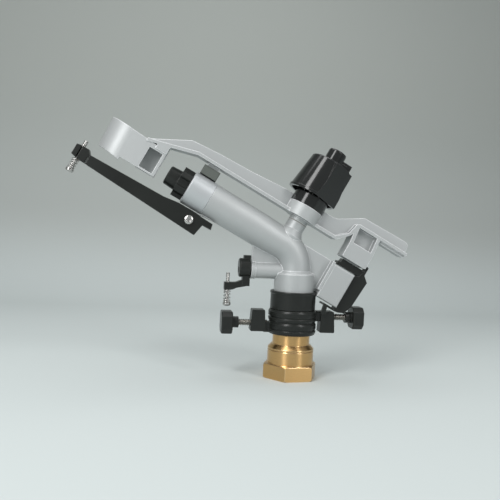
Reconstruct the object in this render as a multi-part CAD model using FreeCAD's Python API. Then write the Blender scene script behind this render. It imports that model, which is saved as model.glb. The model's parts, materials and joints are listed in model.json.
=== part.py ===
import FreeCAD, Part
import math
import os

# Part-circle impact sprinkler gun. Millimetres, +Z up.
# Origin: centre of the inlet's mouth, on the riser axis. The jet leaves towards -X.
# The barrel frame has its origin on the riser axis at elbow_height: its -X runs along the jet,
# its +Z along the arm's pivot, and Y is the same as the object's.

os.makedirs("parts", exist_ok=True)

Vector = FreeCAD.Vector
UP = Vector(0, 0, 1)
ACROSS = Vector(0, 1, 0)
OUT = Vector(1, 0, 0)
BACK = Vector(-1, 0, 0)

# ---- shared fits
turning_gap = 0.05
face_gap = 0.1
free_gap = 0.3

# ---- layout
trajectory = 28.0
elbow_height = 142.8
pivot_offset = 15.0
rest_turn = 9.5

# ---- inlet fitting
hex_across_flats = 55.0
hex_height = 16.0
hex_corner_cut = 1.4
inlet_body_diameter = 52.0
inlet_groove_height = 31.4
inlet_groove_width = 1.4
inlet_groove_depth = 1.0
inlet_chamfer_start = 34.0
inlet_body_top = 38.0
neck_diameter = 42.0
neck_top = 50.0
thread_bore_diameter = 44.8
thread_depth = 21.0
thread_lead_in = 1.6
chamber_diameter = 41.0
sleeve_diameter = 40.0
sleeve_wall = 1.9
sleeve_top = 84.0

# ---- swivel tube and its washers
swivel_diameter = 32.0
swivel_bore = 26.0
swivel_flange_diameter = 40.0
swivel_flange_thickness = 3.0
swivel_socket_top = 111.0
wear_washer_thickness = 1.5
seal_washer_thickness = 2.2
friction_washer_thickness = 1.0

# ---- stop rings, their blocks and their thumb screws
ring_height = 13.5
ring_diameter = 54.5
ring_groove_depth = 1.2
stop_inner_radius = 31.0
stop_outer_radius = 48.5
stop_width = 14.0
stop_bottom = 52.0
stop_top = 76.2
stop_lean = 1.5
stop_rounding = 1.5
stop_neck_width = 10.0
stop_neck_grip = 2.0
thumb_screw_diameter = 7.8
screw_point_diameter = 4.0
lower_screw_height = 60.8
upper_screw_height = 69.5
knob_size = 24.8
knob_thickness = 12.6
knob_corner_cut = 5.0
knob_start_radius = 68.6
knob_socket_depth = 4.0
knob_boss_start_radius = 61.5
knob_boss_diameter = 12.6

# ---- bearing housing
housing_diameter = 51.2
housing_rim = 0.6
housing_top = 98.0
relief_gap = 0.5

# ---- body casting
collar_bottom = 94.0
collar_diameter = 45.0
collar_top = 118.7
collar_flare = 2.5
riser_diameter = 35.0
water_bore = 27.0
elbow_radius = 30.0
barrel_diameter = 38.0
barrel_bore = 29.0
barrel_taper_end = 46.0
barrel_end = 114.0
spigot_diameter = 33.0
spigot_length = 14.0
boss_diameter = 18.2
boss_rim = 0.7
boss_height = 120.0
boss_reach = 50.4
boss_bore = 11.0
gusset_thickness = 5.0
rib_thickness = 7.0
post_diameter = 22.0
post_foot_diameter = 30.0
post_top = 28.5
lug_thickness = 9.0
horn_near = 8.0
horn_side = 16.0
horn_far = 20.0
horn_foot = 12.0
horn_shoulder = 19.0
horn_bottom = 20.6
horn_top = 24.0

# ---- stream straightener
vane_thickness = 1.4
vane_length = 50.0
vane_core_diameter = 6.0

# ---- nozzle
nozzle_ring_diameter = 38.6
nozzle_ring_length = 26.6
insert_flange = 6.0
gasket_thickness = 1.9
insert_neck_diameter = 26.4
crown_diameter = 34.6
crown_length = 12.5
tip_length = 13.5
tip_diameter = 23.2
jet_diameter = 16.0
crown_lobes = 6
lobe_width = 8.0

# ---- arm
plate_height = 34.5
plate_thickness = 3.5
plate_width = 22.0
web_thickness = 3.6
hub_diameter = 40.6
hub_top = 48.8
hub_bottom = 30.0
hub_boss_wall = 3.0
bush_diameter = 16.0
bush_length = 7.5
shaft_diameter = 10.0
shaft_foot = 15.6
tail_bend = 31.0
tail_foot = 48.5
tail_height = 60.0
tail_end = 112.0
weight_start = 77.0
weight_width = 16.0
weight_bottom = 57.0
striker_end = 78.0
striker_bottom = 22.6
striker_floor = 42.0
spoon_reach = 108.5
spoon_radius = 26.0
spoon_wall = 3.4
spoon_near_side = 10.0
spoon_far_side = 11.0
spoon_heel = 64.3
spoon_lean = -3.0
spoon_bottom = -14.0
vane_bottom = -10.8
spoon_top = 19.3
spoon_rise = 0.064
window_near = 67.5
window_far = 83.4
window_bottom = -9.0
window_top = 15.0

# ---- rubber bumper on the arm's lug
bumper_start = 3.8
bumper_length = 19.7
bumper_bottom = 20.2
bumper_top = 30.6
bumper_near_side = 7.0
bumper_wall = 3.0
lug_width = 6.0

# ---- spring housing on the arm's pivot
cup_top = 62.3
cup_wall = 3.0
cover_bottom = 62.8
cover_top = 106.2
cover_base_diameter = 58.4
cover_top_diameter = 48.4
cover_wall = 2.8
cover_lip = 2.7
cover_lip_reach = 0.8
cover_back = 26.8
cover_flat_reach = 22.2
cover_flat_width = 31.0
cover_flat_turn = -55.0
shaft_end_diameter = 8.0
knob_top = 122.3
knob_roof = 6.0
tension_knob_diameter = 21.4
pointer_reach = 21.8
pointer_width = 6.0

# ---- trip mechanism
trip_left = 43.5
trip_right = 70.5
trip_bottom = -31.5
trip_top = 10.0
trip_near = 14.0
trip_far = 12.0
trip_cover_thickness = 2.0
trip_wall = 3.0
trip_rounding = 1.5
pad_thickness = 3.0
pad_bottom = -24.0
pad_top = 12.0
trip_pivot_height = -10.0
trip_pin_diameter = 6.0
trip_pin_head = 9.6
trip_pin_head_height = 2.2
trip_pin_reach = 17.5
lever_gap = 2.2
lever_depth = 13.0
foot_thickness = 2.2
finger_reach = 58.0
finger_thickness = 3.6
finger_side = 11.2

# ---- main jet breaker
breaker_pivot_reach = 8.0
breaker_pivot_drop = 31.0
breaker_length = 136.5
breaker_width = 18.0
breaker_cheek = 3.0
breaker_tip = 6.0
breaker_tip_width = 12.0
breaker_bolt_diameter = 6.0
bolt_head_diameter = 10.6
bolt_head_height = 2.6
nut_across_flats = 10.0
nut_height = 5.0
breaker_screw_diameter = 5.0
breaker_screw_top = -14.4
breaker_screw_bottom = -52.0
breaker_spring_top = -36.2
screw_head_height = 3.5
screw_head_diameter = 9.0
spring_wire = 1.0
spring_diameter = 7.4

# ---- auxiliary nozzle
aux_cap_diameter = 21.2
aux_cap_rise = 2.3
aux_front = 63.7
aux_back = 50.8
aux_spigot_length = 9.0
aux_bore = 7.0
aux_screw_reach = 75.5
aux_screw_diameter = 4.4
aux_screw_top = 115.7
aux_screw_bottom = 79.0
aux_arm_bottom = 97.5
aux_arm_top = 105.5
aux_arm_tip = 4.0
aux_arm_width = 8.0

# ---- derived places
half_turn = math.radians((90.0 - trajectory) / 2.0)
elbow_reach = elbow_radius * math.tan(half_turn)
elbow_start = elbow_height - elbow_reach
swivel_bottom = thread_depth + 2.0
washer_start = swivel_bottom + swivel_flange_thickness + face_gap
seal_start = washer_start + wear_washer_thickness + face_gap
sleeve_shoulder = seal_start + seal_washer_thickness + face_gap
swivel_bearing = swivel_diameter / 2.0 + turning_gap
lower_ring_bottom = neck_top + face_gap
upper_ring_bottom = lower_ring_bottom + ring_height + face_gap
housing_bottom = upper_ring_bottom + ring_height + face_gap
friction_washer_bottom = collar_bottom - face_gap - friction_washer_thickness
gasket_start = barrel_end + spigot_length + face_gap
insert_start = gasket_start + gasket_thickness + face_gap
insert_seat = insert_start + insert_flange
ring_end = barrel_end + nozzle_ring_length
spoon_bend = barrel_end + spoon_reach
plate_top = plate_height + plate_thickness
bolt_reach = barrel_end + breaker_pivot_reach
breaker_screw_reach = bolt_reach + breaker_length
trip_pin_end = trip_right + trip_pin_reach
barrel_frame = FreeCAD.Placement(Vector(0, 0, elbow_height), FreeCAD.Rotation(ACROSS, trajectory))
pivot_frame = barrel_frame.multiply(FreeCAD.Placement(Vector(-pivot_offset, 0, 0), FreeCAD.Rotation()))
jet_frame = barrel_frame.multiply(FreeCAD.Placement(Vector(), FreeCAD.Rotation(ACROSS, -90)))


def save(name, shape):
    if not shape.isValid():
        print("not valid:", name)
    shape.exportStep("parts/" + name + ".step")


def placed(shape, frame):
    moved = shape.copy()
    moved.Placement = frame.multiply(moved.Placement)
    return moved


def rod(diameter, length, base, direction=UP):
    return Part.makeCylinder(diameter / 2.0, length, base, direction)


def ring(outer, inner, length, base, direction=UP):
    return rod(outer, length, base, direction).cut(rod(inner, length, base, direction))


def block(low, high):
    size = Vector(*high) - Vector(*low)
    return Part.makeBox(size.x, size.y, size.z, Vector(*low))


def plate(outline, thickness, middle=0.0):
    """A flat plate: an outline of (x, z) points, thick along Y."""
    start = middle - thickness / 2.0
    corners = [Vector(x, start, z) for x, z in outline]
    face = Part.Face(Part.makePolygon(corners + corners[:1]))
    return face.extrude(Vector(0, thickness, 0))


def turned(outline):
    """A turned piece: an outline of (radius, height) points, spun about Z."""
    corners = [Vector(r, 0, z) for r, z in outline]
    face = Part.Face(Part.makePolygon(corners + corners[:1]))
    return face.revolve(Vector(), UP, 360)


def along(edge, direction):
    return abs(edge.tangentAt(edge.FirstParameter).dot(direction)) > 0.9


def eased(shape, radius, chosen):
    """Rounds the edges that the test picks out."""
    return shape.makeFillet(radius, [edge for edge in shape.Edges if chosen(edge)])


def prism(sides, across_flats, height, base, turn=0.0):
    radius = across_flats / 2.0 / math.cos(math.pi / sides)
    angles = [math.radians(turn + 360.0 * n / sides) for n in range(sides)]
    corners = [base + Vector(radius * math.cos(a), radius * math.sin(a), 0) for a in angles]
    return Part.Face(Part.makePolygon(corners + corners[:1])).extrude(Vector(0, 0, height))


def coil(wire_diameter, mean_diameter, low, high, turns, wire_sides=4):
    """A compression spring about Z between two heights, its wire drawn with a few flat sides."""
    start = low + wire_diameter / 2.0
    height = high - low - wire_diameter
    path = Part.makeHelix(height / turns, height, mean_diameter / 2.0)
    path.translate(Vector(0, 0, start))
    angles = [math.radians(360.0 * n / wire_sides) for n in range(wire_sides)]
    middle = Vector(mean_diameter / 2.0, 0, start)
    reach = wire_diameter / 2.0
    corners = [middle + Vector(reach * math.cos(a), 0, reach * math.sin(a)) for a in angles]
    section = Part.makePolygon(corners + corners[:1])
    return Part.Wire(path).makePipeShell([section], True, True)


# ================= inlet, sleeve and swivel =================

def inlet_fitting():
    corner = hex_across_flats / 2.0 / math.cos(math.pi / 6)
    waist = corner - hex_corner_cut
    hexagon = prism(6, hex_across_flats, hex_height, Vector(), rest_turn)
    crowned = turned([(0, 0), (waist, 0), (corner, hex_corner_cut), (corner, hex_height - hex_corner_cut),
                      (waist, hex_height), (0, hex_height)])
    body = inlet_body_diameter / 2.0
    groove = body - inlet_groove_depth
    groove_top = inlet_groove_height + inlet_groove_width
    neck = neck_diameter / 2.0
    upper = turned([(0, 0), (body, 0), (body, inlet_groove_height), (groove, inlet_groove_height),
                    (groove, groove_top), (body, groove_top), (body, inlet_chamfer_start),
                    (neck + 1.2, inlet_body_top), (neck, inlet_body_top), (neck, neck_top), (0, neck_top)])
    mouth = thread_bore_diameter / 2.0
    lead = mouth + thread_lead_in
    chamber = chamber_diameter / 2.0
    seat = swivel_bearing + sleeve_wall
    hollow = turned([(0, -1), (lead, -1), (lead, 0), (mouth, thread_lead_in), (mouth, thread_depth),
                     (chamber, thread_depth), (chamber, sleeve_shoulder), (seat, sleeve_shoulder),
                     (seat, neck_top + 1), (0, neck_top + 1)])
    return hexagon.common(crowned).fuse(upper).cut(hollow).removeSplitter()


def inlet_sleeve():
    """The bearing tube pressed into the fitting's neck; the stop rings ride on it."""
    seat = swivel_bearing + sleeve_wall
    outer = sleeve_diameter / 2.0
    return turned([(swivel_bearing, sleeve_shoulder), (seat, sleeve_shoulder), (seat, neck_top),
                   (outer, neck_top), (outer, sleeve_top), (swivel_bearing, sleeve_top)])


def swivel_tube():
    outer = swivel_diameter / 2.0
    inner = swivel_bore / 2.0
    flange = swivel_flange_diameter / 2.0
    seat = swivel_bottom + swivel_flange_thickness
    return turned([(inner, swivel_bottom), (flange, swivel_bottom), (flange, seat), (outer, seat),
                   (outer, swivel_socket_top), (inner, swivel_socket_top)])


def swivel_washer(start, thickness):
    outer = swivel_flange_diameter - 2 * free_gap
    inner = swivel_diameter + 2 * free_gap
    return ring(outer, inner, thickness, Vector(0, 0, start))


save("inlet_fitting", inlet_fitting())
save("inlet_sleeve", inlet_sleeve())
save("swivel_tube", swivel_tube())
save("wear_washer", swivel_washer(washer_start, wear_washer_thickness))
save("seal_washer", swivel_washer(seal_start, seal_washer_thickness))


# ================= stop rings =================

def sided(shape, side):
    """Mirrored to the -X side when side is negative."""
    return shape if side > 0 else shape.mirror(Vector(), OUT)


def stop_neck(bottom):
    half = stop_neck_width / 2.0
    start = ring_diameter / 2.0 - ring_groove_depth - 1
    end = stop_inner_radius + stop_neck_grip
    return block((start, -half, bottom + 1), (end, half, bottom + ring_height - 1))


def screw_way(screw_height):
    """Room for the thumb screw's thread and, inside the ring, for its point."""
    step = ring_diameter / 2.0 + 1.2
    thread_start = Vector(step - 0.4, 0, screw_height)
    point_start = Vector(sleeve_diameter / 2.0 - 1, 0, screw_height)
    return [rod(thumb_screw_diameter + 2 * turning_gap, stop_outer_radius, thread_start, OUT),
            rod(screw_point_diameter + 2 * turning_gap, step, point_start, OUT)]


def stop_ring(bottom, screw_height):
    """Clamp ring with two grooves round it and a neck that carries the stop block."""
    inner = sleeve_diameter / 2.0 + turning_gap
    outer = ring_diameter / 2.0
    waist = outer - ring_groove_depth
    step = ring_height / 6.0
    levels = [bottom + n * step for n in range(7)]
    band = turned([(inner, levels[0]), (waist, levels[0]), (outer, levels[1]), (outer, levels[2]),
                   (waist, levels[2]), (waist, levels[3]), (outer, levels[3]), (outer, levels[5]),
                   (waist, levels[6]), (inner, levels[6])])
    return band.fuse(stop_neck(bottom)).cut(screw_way(screw_height))


def stop_block(bottom, screw_height):
    """Square block that the trip finger meets."""
    body = plate([(stop_inner_radius, stop_bottom), (stop_outer_radius, stop_bottom),
                  (stop_outer_radius - stop_lean, stop_top),
                  (stop_inner_radius + stop_lean, stop_top)], stop_width)
    body = eased(body, stop_rounding, lambda edge: along(edge, ACROSS))
    return body.cut([stop_neck(bottom)] + screw_way(screw_height))


def thumb_screw(height):
    tip = sleeve_diameter / 2.0 + free_gap
    step = ring_diameter / 2.0 + 1.2
    point = rod(screw_point_diameter, step - tip, Vector(tip, 0, height), OUT)
    length = knob_start_radius + knob_socket_depth - step
    return point.fuse(rod(thumb_screw_diameter, length, Vector(step, 0, height), OUT))


def thumb_knob(height):
    half = knob_size / 2.0
    flat = half - knob_corner_cut
    corners = [(half, flat), (flat, half), (-flat, half), (-half, flat),
               (-half, -flat), (-flat, -half), (flat, -half), (half, -flat)]
    points = [Vector(knob_start_radius, y, height + z) for y, z in corners]
    grip = Part.Face(Part.makePolygon(points + points[:1])).extrude(Vector(knob_thickness, 0, 0))
    grip = grip.makeChamfer(1.0, [edge for edge in grip.Edges if not along(edge, OUT)])
    boss_length = knob_start_radius - knob_boss_start_radius
    start = Vector(knob_boss_start_radius, 0, height)
    socket = rod(thumb_screw_diameter, boss_length + knob_socket_depth, start, OUT)
    return grip.fuse(rod(knob_boss_diameter, boss_length, start, OUT)).cut(socket)


for name, bottom, height, side in (("lower", lower_ring_bottom, lower_screw_height, -1),
                                   ("upper", upper_ring_bottom, upper_screw_height, 1)):
    save(name + "_stop_ring", sided(stop_ring(bottom, height), side))
    save(name + "_stop_block", sided(stop_block(bottom, height), side))
    save(name + "_stop_screw", sided(thumb_screw(height), side))
    save(name + "_stop_knob", sided(thumb_knob(height), side))


# ================= bearing housing =================

def bearing_housing():
    outer = housing_diameter / 2.0
    grip = sleeve_diameter / 2.0
    inner = collar_diameter / 2.0 + free_gap
    rim = outer + housing_rim
    return turned([(grip, housing_bottom), (outer - 0.8, housing_bottom), (outer, housing_bottom + 0.8),
                   (outer, housing_top - 3), (rim, housing_top - 2.4), (rim, housing_top - 0.5),
                   (rim - 0.5, housing_top), (inner, housing_top), (inner, sleeve_top), (grip, sleeve_top)])


def clear_of_housing(gap):
    """The room that the bearing housing needs as the head turns round it."""
    return rod(housing_diameter + 2 * (housing_rim + gap), housing_top + gap, Vector())


save("bearing_housing", bearing_housing())
save("friction_washer", ring(collar_diameter - 1.0, swivel_diameter + 2 * free_gap,
                             friction_washer_thickness, Vector(0, 0, friction_washer_bottom)))
save("pressure_spring", coil(2.0, 37.0, sleeve_top + face_gap, friction_washer_bottom - face_gap, 2))


# ================= body casting =================

def water_passage(riser, barrel, bottom, end):
    """The bent way through the casting at a given riser and barrel diameter."""
    upright = rod(riser, elbow_start - bottom, Vector(0, 0, bottom))
    disc = Part.Face(Part.Wire(Part.makeCircle(riser / 2.0, Vector(0, 0, elbow_start), UP)))
    bend = disc.revolve(Vector(-elbow_radius, 0, elbow_start), Vector(0, -1, 0), 90.0 - trajectory)
    taper = Part.makeCone(riser / 2.0, barrel / 2.0, barrel_taper_end - elbow_reach,
                          Vector(-elbow_reach, 0, 0), BACK)
    straight = rod(barrel, end - barrel_taper_end, Vector(-barrel_taper_end, 0, 0), BACK)
    return [upright, bend, placed(taper, barrel_frame), placed(straight, barrel_frame)]


def body_casting():
    end = -barrel_end
    riser = riser_diameter / 2.0
    outer = collar_diameter / 2.0
    collar = turned([(0, collar_bottom), (outer - 1.2, collar_bottom), (outer, collar_bottom + 1.2),
                     (outer, collar_top - 1.2), (outer - 1.2, collar_top), (riser + collar_flare, collar_top),
                     (riser, collar_top + collar_flare), (0, collar_top + collar_flare)])
    outside = water_passage(riser_diameter, barrel_diameter, collar_top, barrel_end)
    spigot = placed(rod(spigot_diameter, spigot_length + 2, Vector(end + 2, 0, 0), BACK), barrel_frame)
    foot = post_foot_diameter / 2.0
    neck = post_diameter / 2.0
    post = turned([(0, 4), (foot, 4), (foot, 13), (neck, 20), (neck, post_top), (0, post_top)])
    post = placed(post, pivot_frame)
    boss = rod(boss_diameter, boss_reach, Vector(0, 0, boss_height), BACK)
    rim = rod(boss_diameter + 2 * boss_rim, 5, Vector(5 - boss_reach, 0, boss_height), BACK)
    gusset = plate([(1 - boss_reach, boss_height + 6), (1 - boss_reach, elbow_height + 7.2),
                    (-20, elbow_height - 0.8), (-14, boss_height + 4)], gusset_thickness)
    rib = placed(plate([(-4, pad_top), (trip_left - 1, pad_top), (trip_left - 1, pad_bottom), (20, -48),
                        (0, -32)], rib_thickness), barrel_frame)
    below = block((-riser, -riser, 0), (trip_left * 2, riser, housing_top + 1.5))
    rib = rib.cut(below)
    pad = placed(block((trip_left - pad_thickness, -trip_near, pad_bottom), (trip_left, trip_far, pad_top)),
                 barrel_frame)
    lug = placed(plate([(end + 19, -16), (end + 2, -16), (end + 1.5, -20), (end - 15, -20), (end - 15, -34),
                        (end - 8, -38), (end - 1.5, -36), (end + 2.5, -30), (end + 2.5, -20.2),
                        (end + 17, -18.6)], lug_thickness), barrel_frame)
    horn = [block((end + 2, horn_near, horn_foot), (end + 6.5, horn_far, horn_shoulder)),
            block((end - 12, horn_side, horn_foot), (end + 3, horn_far, horn_shoulder)),
            block((end - 12, horn_side, horn_foot), (end - 5, horn_far, horn_top)),
            block((end - 12, horn_near, horn_bottom), (end - 5, horn_far, horn_top))]
    horn = [placed(piece, barrel_frame) for piece in horn]
    solid = collar.fuse(outside + [spigot, post, boss, rim, gusset, rib, pad, lug] + horn)
    bore = water_passage(water_bore, barrel_bore, swivel_socket_top, barrel_end + spigot_length + 1)
    socket = rod(swivel_diameter, swivel_socket_top - collar_bottom + 1, Vector(0, 0, collar_bottom - 1))
    side_bore = rod(boss_bore, boss_reach, Vector(-5, 0, boss_height), BACK)
    shaft_seat = placed(rod(shaft_diameter, post_top, Vector(0, 0, shaft_foot)), pivot_frame)
    bolt = placed(rod(breaker_bolt_diameter, 40, Vector(-bolt_reach, -20, -breaker_pivot_drop), ACROSS),
                  barrel_frame)
    return solid.cut(bore + [socket, side_bore, shaft_seat, bolt]).removeSplitter()


def stream_straightener():
    """Cross-shaped vane that calms the water in the barrel."""
    width = barrel_bore - 2 * face_gap
    start = -barrel_taper_end - 4
    end = start - vane_length
    half = vane_thickness / 2.0
    upright = block((end, -half, -width / 2), (start, half, width / 2))
    level = block((end, -width / 2, -half), (start, width / 2, half))
    core = rod(vane_core_diameter, vane_length, Vector(start, 0, 0), BACK)
    whole = upright.fuse([level, core])
    return placed(whole.common(rod(width, vane_length, Vector(start, 0, 0), BACK)), barrel_frame)


save("body_casting", body_casting())
save("stream_straightener", stream_straightener())


# ================= nozzle =================

def nozzle_ring():
    outer = nozzle_ring_diameter / 2.0
    thread = spigot_diameter / 2.0 + turning_gap
    lip = insert_neck_diameter / 2.0 + turning_gap
    start = barrel_end + face_gap
    seat = insert_seat + face_gap
    return turned([(thread, start), (outer, start), (outer, ring_end - 1), (outer - 1, ring_end),
                   (lip, ring_end), (lip, seat), (thread, seat)])


def nozzle_insert():
    flange = spigot_diameter / 2.0 - 0.2
    neck = insert_neck_diameter / 2.0
    crown_start = ring_end + free_gap
    crown_end = crown_start + crown_length
    tip_end = crown_end + tip_length
    tip = tip_diameter / 2.0
    jet = jet_diameter / 2.0
    throat = barrel_bore / 2.0 - 1.5
    body = turned([(throat, insert_start), (flange, insert_start), (flange, insert_seat), (neck, insert_seat),
                   (neck, crown_start), (neck + 0.8, crown_start), (neck + 0.8, crown_end), (tip, crown_end),
                   (tip - 0.8, tip_end - 1), (tip - 1.8, tip_end), (jet, tip_end), (jet, crown_end)])
    half = lobe_width / 2.0
    lobe = block((neck - 1, -half, crown_start), (crown_diameter / 2.0, half, crown_end))
    lobe = eased(lobe, 1.0, lambda edge: along(edge, UP) and edge.BoundBox.XMin > neck)
    lobes = []
    for n in range(crown_lobes):
        turned_lobe = lobe.copy()
        turned_lobe.rotate(Vector(), UP, 360.0 * n / crown_lobes)
        lobes.append(turned_lobe)
    return body.fuse(lobes).removeSplitter()


gasket = ring(spigot_diameter - 0.2, barrel_bore, gasket_thickness, Vector(0, 0, gasket_start))
save("nozzle_ring", placed(nozzle_ring(), jet_frame))
save("nozzle_insert", placed(nozzle_insert(), jet_frame))
save("nozzle_gasket", placed(gasket, jet_frame))


# ================= main jet breaker =================

def breaker_lever():
    """Channel-shaped lever under the jet, open below, with its adjusting screw in the hooked end."""
    end = -barrel_end
    tip = -breaker_screw_reach
    solid = plate([(end + 18.5, -28.5), (end + 8, -28.8), (end + 5.4, -42.7), (tip + 2.5, -36),
                   (tip - breaker_tip, -34), (tip - breaker_tip, -22), (tip - 2, -21), (tip + 8, -21),
                   (tip + 11.5, -25.5), (end - 44, -23.2), (end - 26, -20.6), (end - 4, -20.6),
                   (end + 2, -21.5), (end + 17, -22)], breaker_width)
    inside = breaker_width - 2 * breaker_cheek
    hollow = plate([(end + 5, -26), (end - 44, -26.4), (tip + 10.5, -29), (tip + 9.5, -60), (end + 14, -60),
                    (end + 10, -31)], inside)
    slot = plate([(end + 5, 0), (end - 20, 0), (end - 20, -60), (end + 5, -60)], inside)
    half = breaker_tip_width / 2.0
    waist = [block((tip - 12, side * 2 * half - half, -60), (tip + 12.5, side * 2 * half + half, 0))
             for side in (-1, 1)]
    pivot = rod(breaker_bolt_diameter + 2 * turning_gap, 40,
                Vector(-bolt_reach, -20, -breaker_pivot_drop), ACROSS)
    screw = rod(breaker_screw_diameter + 2 * turning_gap, 60, Vector(tip, 0, -60))
    window = block((tip - 0.9, -breaker_width, -60), (tip + 0.9, 0, 0))
    return solid.cut([hollow, slot, pivot, screw, window] + waist)


def breaker_bolt():
    side = breaker_width / 2.0 + free_gap
    start = Vector(-bolt_reach, -side, -breaker_pivot_drop)
    head = rod(bolt_head_diameter, bolt_head_height, start, Vector(0, -1, 0))
    head = eased(head, 1.0, lambda edge: edge.BoundBox.YMax < -side - 1)
    return rod(breaker_bolt_diameter, 2 * side + nut_height, start, ACROSS).fuse(head)


def breaker_nut():
    nut = prism(6, nut_across_flats, nut_height, Vector())
    nut = nut.cut(rod(breaker_bolt_diameter, nut_height, Vector()))
    nut.rotate(Vector(), OUT, -90)
    nut.translate(Vector(-bolt_reach, breaker_width / 2.0 + free_gap, -breaker_pivot_drop))
    return nut


def adjusting_screw(diameter, low, high):
    head = rod(screw_head_diameter, screw_head_height, Vector(0, 0, low))
    head = head.makeChamfer(0.6, [edge for edge in head.Edges if not along(edge, UP)])
    return head.fuse(rod(diameter, high - low - 1, Vector(0, 0, low + 1)))


def adjusting_spring(screw_bottom, top):
    return coil(spring_wire, spring_diameter, screw_bottom + screw_head_height + face_gap, top, 5)


breaker_tip_frame = FreeCAD.Placement(Vector(-breaker_screw_reach, 0, 0), FreeCAD.Rotation())
breaker_frame = barrel_frame.multiply(breaker_tip_frame)
save("breaker_lever", placed(breaker_lever(), barrel_frame))
save("breaker_bolt", placed(breaker_bolt(), barrel_frame))
save("breaker_nut", placed(breaker_nut(), barrel_frame))
save("breaker_screw", placed(adjusting_screw(breaker_screw_diameter, breaker_screw_bottom, breaker_screw_top),
                             breaker_frame))
save("breaker_spring", placed(adjusting_spring(breaker_screw_bottom, breaker_spring_top), breaker_frame))


# ================= auxiliary nozzle =================

def aux_nozzle():
    """Short-range nozzle on the side boss, with the arm that carries its own breaker screw."""
    end = Vector(-boss_reach, 0, boss_height)
    cap = rod(aux_cap_diameter, aux_front - aux_back, Vector(-aux_back, 0, boss_height + aux_cap_rise), BACK)
    cap = cap.makeChamfer(1.0, [edge for edge in cap.Edges if not along(edge, OUT)])
    neck = rod(boss_diameter - 3, aux_back - boss_reach + 1, end, BACK)
    spigot = rod(boss_bore, aux_spigot_length, end + Vector(aux_spigot_length, 0, 0), BACK)
    top = boss_height + aux_cap_rise + aux_cap_diameter / 2.0
    half = aux_arm_width / 2.0
    tab = block((5 - aux_front, -half, boss_height), (-aux_back, half, top + 3.4))
    drop = block((4 - aux_front, -half - 1, aux_arm_bottom + 4.5),
                 (-aux_back - 0.5, half + 1, boss_height - 4))
    tip = -aux_screw_reach - aux_arm_tip
    arm = plate([(4 - aux_front, aux_arm_top + 3), (-aux_front - 3, aux_arm_top + 0.3), (tip, aux_arm_top),
                 (tip, aux_arm_bottom), (tip + 9.5, aux_arm_bottom), (-aux_front - 2, aux_arm_bottom + 2),
                 (-aux_back - 3, aux_arm_bottom + 4.5)], aux_arm_width)
    bore = rod(aux_bore, aux_front, Vector(0, 0, boss_height), BACK)
    screw = rod(aux_screw_diameter + 2 * turning_gap, 30, Vector(-aux_screw_reach, 0, aux_arm_bottom - 10))
    return cap.fuse([neck, spigot, tab, drop, arm]).cut([bore, screw]).removeSplitter()


aux_frame = FreeCAD.Placement(Vector(-aux_screw_reach, 0, 0), FreeCAD.Rotation())
save("aux_nozzle", aux_nozzle())
save("aux_screw", placed(adjusting_screw(aux_screw_diameter, aux_screw_bottom, aux_screw_top), aux_frame))
save("aux_spring", placed(adjusting_spring(aux_screw_bottom, aux_arm_bottom - face_gap), aux_frame))


# ================= arm =================

def arm_plate():
    """The bent flange that runs the whole length of the arm, seen from the side."""
    nose = -barrel_end - 90
    dip = -barrel_end - 76
    rise = -barrel_end - 34.5
    tail_top = tail_height + plate_thickness
    under = [(nose, 19), (dip, 22.4), (rise, plate_height), (tail_bend, plate_height),
             (tail_bend + 12.6, plate_height + 13), (tail_foot, tail_height)]
    over = [(tail_foot - 2, tail_top), (tail_foot - 5, tail_height + 1), (tail_bend + 9.5, plate_top + 10.5),
            (tail_bend - 2.5, plate_top), (rise - 1, plate_top), (dip - 0.5, 22.4 + plate_thickness),
            (nose, 19 + plate_thickness)]
    tail = [(tail_end, tail_height), (tail_end, tail_top)]
    return plate(under + tail + over, plate_width)


def arm_web():
    """Upright web on the flange; it runs down between the striker's walls as the floor of a recess."""
    end = -barrel_end
    crest = [(end - 91.3, 22), (end - 48.4, 46), (end - 16, 49.2), (-88, 51.2), (-43, 55.2), (18, 55.6),
             (23, 57), (50, 73.8), (tail_end - 6, 75.6), (tail_end - 1.5, 74), (tail_end, 70)]
    under = [(tail_end, tail_height), (striker_end - 3, tail_height), (striker_end - 1, striker_floor - 1),
             (tail_foot, striker_floor - 1), (tail_foot, tail_height + 1),
             (tail_bend + 1, plate_height + 1.5), (end - 35, plate_height + 1.5), (end - 76, 21)]
    return plate(crest + under, web_thickness)


def arm_striker():
    """The block that hammers on the body, hung under the tail between two walls."""
    half = plate_width / 2.0
    solid = block((tail_foot - 2, -half, striker_bottom), (striker_end, half, striker_floor))
    solid = eased(solid, 1.5, lambda edge: along(edge, ACROSS) and edge.BoundBox.ZMax < striker_bottom + 1)
    left = plate([(tail_foot - 5, tail_height), (tail_foot - 2, striker_floor - 2),
                  (tail_foot + 2, striker_floor - 2), (tail_foot - 0.5, tail_height + 2)], plate_width)
    right = plate([(striker_end - 4, striker_floor - 2), (striker_end, striker_floor - 2),
                   (striker_end - 2, tail_height + 2), (striker_end - 6, tail_height + 2)], plate_width)
    return [solid, left, right]


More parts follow.
